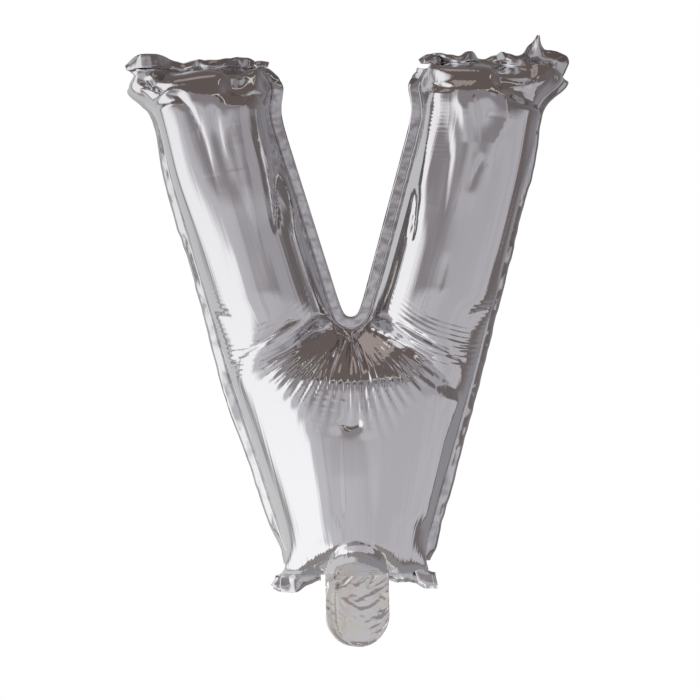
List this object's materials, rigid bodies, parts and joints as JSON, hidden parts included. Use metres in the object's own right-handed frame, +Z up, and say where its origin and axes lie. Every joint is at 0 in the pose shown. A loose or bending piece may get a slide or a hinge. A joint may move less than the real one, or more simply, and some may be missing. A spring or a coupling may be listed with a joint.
{
  "type": "letter foil balloon",
  "caption": "Inflated foil balloon in the shape of a capital V, with a welded margin round it and a filling tail at the bottom.",
  "frame": {"origin": "middle of the bottom weld, at the neck where the tail starts, in the plane of the weld", "axes": "+Z up the letter, +X to the right as the letter is read, -Y out of the front panel"},
  "size_m": [0.3152, 0.095, 0.401],
  "materials": {
    "foil": "mirror-bright metallised film, stretched smooth",
    "welded_foil": "crinkled metallised film, two layers welded flat",
    "tail_foil": "slack metallised film, creased",
    "valve_film": "clear slack film"
  },
  "bodies": {
    "root": {"front_panel": "foil", "back_panel": "foil", "margin_outer_left": "welded_foil", "margin_outer_right": "welded_foil", "margin_notch": "welded_foil", "margin_head_left": "welded_foil", "margin_head_right": "welded_foil", "margin_foot_left": "welded_foil", "margin_foot_right": "welded_foil", "tail_front": "tail_foil", "tail_back": "tail_foil", "valve_film_front": "valve_film", "valve_film_back": "valve_film"}
  },
  "joints": []
}
